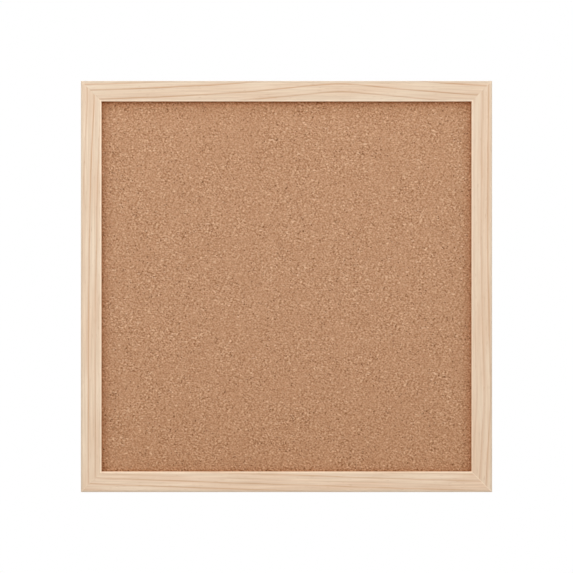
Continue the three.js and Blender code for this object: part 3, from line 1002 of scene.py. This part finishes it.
def ring_mesh(side):
    """The wire bent to a D, its ends close together inside the strap's loop."""
    half, bend = RING_WIDTH / 2, RING_BEND_RADIUS
    corner = arc((half - bend, -bend), bend, math.pi / 2, 0, BEND_STEPS)
    bow = arc((0, -RING_ARM), half, 0, -math.pi, BOW_STEPS)
    other = [(-x, up) for x, up in reversed(corner)]
    line = [(RING_END_GAP / 2, 0)] + corner + bow + other + [(-RING_END_GAP / 2, 0)]
    line = [Vector((x, 0, up)) for x, up in line]
    flat = Vector((0, 1, 0))
    turns = [2 * math.pi * k / WIRE_SIDES for k in range(WIRE_SIDES)]
    rows = []
    for k, point in enumerate(line):
        way = (line[min(k + 1, len(line) - 1)] - line[max(k - 1, 0)]).normalized()
        beside = way.cross(flat)
        rows.append([point + RING_WIRE_RADIUS * (beside * math.cos(t) + flat * math.sin(t)) for t in turns])
    rows = chamfered(chamfered(rows, line[0], line[1])[::-1], line[-1], line[-2])
    place = Matrix.Translation(Vector(RING_PIVOTS[side + "_ring"])) @ Matrix.Rotation(RING_REST_ANGLE, 4, "X")
    work = bmesh.new()
    add_rows(work, [[place @ point for point in row] for row in rows])
    return mesh_from(work, side + "_ring_wire")


def chamfered(rows, end, inner):
    """The rows of a wire with a chamfered and closed end put before the first of them."""
    inward = (inner - end).normalized() * WIRE_END_CHAMFER * RING_WIRE_RADIUS
    small = [end + (point - end) * (1 - WIRE_END_CHAMFER) for point in rows[0]]
    return [[end], small, [point + inward for point in rows[0]]] + rows[1:]


# Screw: a pan head with a tapered cross recess, and a wood thread on its shank
HEAD_UNDERSIDE = FRAME_BACK + 2 * STRIP_THICKNESS
SCREW_LENGTH = HEAD_UNDERSIDE - SCREW_BOX[0].y
HEAD_RADIUS = (SCREW_BOX[1].x - SCREW_BOX[0].x) / 2
HEAD_HEIGHT = SCREW_BOX[1].y - HEAD_UNDERSIDE
HEAD_RIM = 0.5 * MM
HEAD_EDGE = 0.1 * MM
HEAD_WEAR = 0.6 * MM
THREAD_RADIUS = 1.5 * MM
THREAD_ROOT = 1.05 * MM
THREAD_PITCH = 1.25 * MM
THREAD_ROWS_PER_TURN = 10
THREAD_RIDGE_SHARE = 0.5
PLAIN_SHANK = 1.2 * MM
SCREW_TIP = 2.5 * MM
SCREW_STEPS = 32
HEAD_ARC_STEPS = 10
RECESS_LENGTH = 3.0 * MM
RECESS_WIDTH = 0.6 * MM
RECESS_DEPTH = 0.9 * MM
RECESS_TAPER = 0.45
RECESS_WORN = 0.8


def thread_row(centre, up):
    """The points round the shank at this height above the screw's tip."""
    taper = min(1, up / SCREW_TIP)
    row = []
    for n in range(SCREW_STEPS):
        phase = (up / THREAD_PITCH - n / SCREW_STEPS) % 1
        ridge = max(0, 1 - abs(2 * phase - 1) / THREAD_RIDGE_SHARE)
        radius = taper * (THREAD_ROOT + (THREAD_RADIUS - THREAD_ROOT) * ridge)
        turn = 2 * math.pi * n / SCREW_STEPS
        y = HEAD_UNDERSIDE - SCREW_LENGTH + up
        row.append((centre[0] + radius * math.cos(turn), y, centre[1] + radius * math.sin(turn)))
    return row


def shank_rows(centre):
    """The shank from its point up to the underside of the head."""
    threaded = SCREW_LENGTH - PLAIN_SHANK
    count = round(threaded / THREAD_PITCH * THREAD_ROWS_PER_TURN)
    rows = [[(centre[0], HEAD_UNDERSIDE - SCREW_LENGTH, centre[1])]]
    rows += [thread_row(centre, threaded * k / count) for k in range(1, count + 1)]
    for below in (PLAIN_SHANK / 2, 0):
        rows.append(circle(THREAD_ROOT, HEAD_UNDERSIDE - below, SCREW_STEPS, centre))
    return rows


def head_rows(centre):
    """The head from the rim of its underside over its dome to its middle."""
    profile = [(HEAD_RADIUS - HEAD_EDGE, 0.0), (HEAD_RADIUS, HEAD_EDGE)]
    for k in range(HEAD_ARC_STEPS + 1):
        turn = math.pi / 2 * k / HEAD_ARC_STEPS
        radius = HEAD_RADIUS - (HEAD_RADIUS - THREAD_RADIUS) * (1 - math.cos(turn))
        profile.append((radius, HEAD_RIM + (HEAD_HEIGHT - HEAD_RIM) * math.sin(turn)))
    profile += [(THREAD_RADIUS / 2, HEAD_HEIGHT), (0, HEAD_HEIGHT)]
    return [circle(radius, HEAD_UNDERSIDE + up, SCREW_STEPS, centre) for radius, up in profile]


def recess_cutter(centre, turned):
    """One bar of the cross recess, narrower and shorter at its bottom."""
    top, rows = HEAD_UNDERSIDE + HEAD_HEIGHT, []
    for depth, share in ((-RECESS_DEPTH, 2 - RECESS_TAPER), (0, 1), (RECESS_DEPTH, RECESS_TAPER)):
        long, wide = RECESS_LENGTH / 2 * share, RECESS_WIDTH / 2 * (1 + share) / 2
        sides = [(long, wide), (-long, wide), (-long, -wide), (long, -wide)]
        if turned:
            sides = [(-z, x) for x, z in sides]
        rows.append([(centre[0] + x, top - depth, centre[1] + z) for x, z in sides])
    above, below = ([(centre[0], top + way * RECESS_DEPTH, centre[1])] for way in (1, -1))
    work = bmesh.new()
    add_rows(work, [above, *rows, below])
    return mesh_from(work, "recess_cutter")


def carved(mesh, cutters):
    """A mesh with each cutter taken out of it."""
    piece = linked_object("carving", mesh)
    tools = [linked_object("cutter", cutter) for cutter in cutters]
    for tool in tools:
        boolean = piece.modifiers.new("cut", "BOOLEAN")
        boolean.operation = "DIFFERENCE"
        boolean.solver = "EXACT"
        boolean.object = tool
    result = bpy.data.meshes.new_from_object(piece.evaluated_get(bpy.context.evaluated_depsgraph_get()))
    for used in (piece, *tools):
        bpy.data.objects.remove(used)
    return result


def screw_mesh(side):
    centre = (RING_PIVOTS[side + "_ring"][0], SCREW_Z)
    work = bmesh.new()
    add_rows(work, shank_rows(centre) + head_rows(centre))
    solid = mesh_from(work, side + "_screw_threaded")
    return carved(solid, [recess_cutter(centre, turned) for turned in (False, True)])


# Wall bumper: a moulded rubber foot with a low flange, a tapered side and a gate mark in its flat face
BUMPER_RADIUS = (BUMPER_BOX[1].x - BUMPER_BOX[0].x) / 2
BUMPER_X = (BUMPER_BOX[1].x + BUMPER_BOX[0].x) / 2
BUMPER_Z = (BUMPER_BOX[1].z + BUMPER_BOX[0].z) / 2
BUMPER_EDGE_RADIUS = 0.8 * MM
BUMPER_TAPER = 0.25 * MM
FLANGE_HEIGHT = 0.5 * MM
FLANGE_EDGE = 0.12 * MM
GATE_RADIUS = 0.7 * MM
GATE_DEPTH = 0.12 * MM
BUMPER_WEAR = 1.3 * MM
RIM_SCUFFED = 0.14
BUMPER_STEPS = 64
BUMPER_ARC_STEPS = 8


def bumper_mesh(side):
    low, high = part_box(side + "_wall_bumper")
    centre = ((low.x + high.x) / 2, (low.z + high.z) / 2)
    rim, waist = BUMPER_RADIUS, BUMPER_RADIUS - BUMPER_TAPER
    flange = low.y + FLANGE_HEIGHT
    edge_centre = (waist - BUMPER_EDGE_RADIUS, high.y - BUMPER_EDGE_RADIUS)
    gate_floor = high.y - GATE_DEPTH
    profile = [(0, low.y), (rim - FLANGE_EDGE, low.y), (rim, low.y + FLANGE_EDGE)]
    profile += [(rim, flange - FLANGE_EDGE), (rim - FLANGE_EDGE, flange), (waist, flange)]
    profile += arc(edge_centre, BUMPER_EDGE_RADIUS, 0, math.pi / 2, BUMPER_ARC_STEPS)
    profile += [(GATE_RADIUS, high.y), (GATE_RADIUS - GATE_DEPTH, gate_floor), (0, gate_floor)]
    work = bmesh.new()
    add_rows(work, [circle(radius, y, BUMPER_STEPS, centre) for radius, y in profile])
    return mesh_from(work, side + "_bumper_moulded")


# The pieces

def dress_rails():
    for name, sawn in RAILS.items():
        dress(name, pine("pine_" + name, **sawn), RAIL_EDGE_MM)


def dress_v_nails():
    bare = steel("bare_steel", STEEL_BRIGHT, STEEL_DULL, BARE_ROUGHNESS)
    for name in frame["nodes"]:
        if name.startswith("v_nail"):
            dress(name, bare, NAIL_EDGE_MM)


def make_panel():
    new_piece("cork_granules", cork_mesh(), pressed_cork(), "board", "cork", "cork_sheet")
    dress("softboard_core", softboard())
    new_piece("cockled_liner", liner_mesh(), kraft_paper(), "board", "kraft_paper", "backing_liner")


def make_hangers():
    slot = "zinc_steel"
    strap_zinc, ring_zinc, screw_zinc = (
        steel("zinc_" + name, ZINC_BRIGHT, ZINC_DULL, ZINC_ROUGHNESS, wear)
        for name, wear in (("strap", strap_wear), ("ring", ring_wear), ("screw", screw_wear)))
    for side in SIDES:
        node, ring_body = side + "_hanger_", side + "_ring"
        strap = new_piece(side + "_strap", strap_mesh(side), strap_zinc, "board", slot, node + "strap")
        ring = new_piece(side + "_ring_wire", ring_mesh(side), ring_zinc, ring_body, slot, node + "ring")
        screw = new_piece(side + "_screw", screw_mesh(side), screw_zinc, "board", slot, node + "screw")
        soften(strap, STRAP_EDGE_MM)
        soften(screw, SCREW_EDGE_MM)
        smooth(ring)


def make_bumpers():
    rubber = soft_rubber()
    for side in SIDES:
        node = side + "_wall_bumper"
        smooth(new_piece(side + "_bumper", bumper_mesh(side), rubber, "board", "bumper_rubber", node))


# Floor, light and camera. A lamp is its size, its place and its power in watts.
FLOOR_Z = -0.8
FLOOR_HALF = 4.0
FLOOR_GLOW = 0.75
AMBIENT = 0.265
LAMPS = {
    "top_lamp": ((2.2, 1.1), (0.0, -0.85, 1.0), 11.7),
    "left_lamp": ((1.2, 1.3), (-1.4, -0.8, 0.58), 13.0),
    "right_lamp": ((1.2, 1.3), (1.45, -0.7, 0.58), 11.7),
    "back_lamp": ((1.8, 1.4), (0.5, 1.6, 1.1), 30.0),
}
VIEW_WIDTH = 417.9 * MM
CAMERA_DISTANCE = 3.0
SENSOR_WIDTH = 36.0


def make_floor():
    corners = [(-1, -1), (1, -1), (1, 1), (-1, 1)]
    work = bmesh.new()
    work.faces.new([work.verts.new((x * FLOOR_HALF, y * FLOOR_HALF, FLOOR_Z)) for x, y in corners])
    mesh = mesh_from(work, "floor")
    mesh.materials.append(floor_paint())
    linked_object("floor", mesh)


def make_world():
    """White where the camera or a reflection looks, and an even soft light on everything else."""
    world = bpy.data.worlds.new("studio")
    world.use_nodes = True
    nodes = Nodes(world.node_tree)
    white = (1, 1, 1, 1)
    seen = nodes.add("ShaderNodeBackground", white, 1.0).outputs[0]
    ambient = nodes.add("ShaderNodeBackground", white, AMBIENT).outputs[0]
    nodes.add("ShaderNodeOutputWorld", nodes.blend_where_seen(ambient, seen))
    bpy.context.scene.world = world


def make_lamp(name, size, place, watts):
    """A soft box that looks at the middle of the board."""
    lamp = bpy.data.lights.new(name, "AREA")
    lamp.shape = "RECTANGLE"
    lamp.size, lamp.size_y = size
    lamp.energy = watts
    holder = linked_object(name, lamp)
    holder.location = place
    holder.rotation_euler = (-Vector(place)).to_track_quat("-Z", "Y").to_euler()


def make_camera():
    """A long lens straight in front of the board, as the photograph was taken."""
    lens = bpy.data.cameras.new("camera")
    lens.sensor_width = SENSOR_WIDTH
    lens.lens = SENSOR_WIDTH * CAMERA_DISTANCE / VIEW_WIDTH
    camera = linked_object("camera", lens)
    camera.location = (0, FRAME_FRONT - CAMERA_DISTANCE, 0)
    camera.rotation_euler = (math.pi / 2, 0, 0)
    bpy.context.scene.camera = camera


make_camera()
make_floor()
make_world()
for lamp_name, settings in LAMPS.items():
    make_lamp(lamp_name, *settings)
dress_rails()
dress_v_nails()
make_panel()
make_hangers()
make_bumpers()
bpy.context.scene.view_settings.view_transform = "Standard"
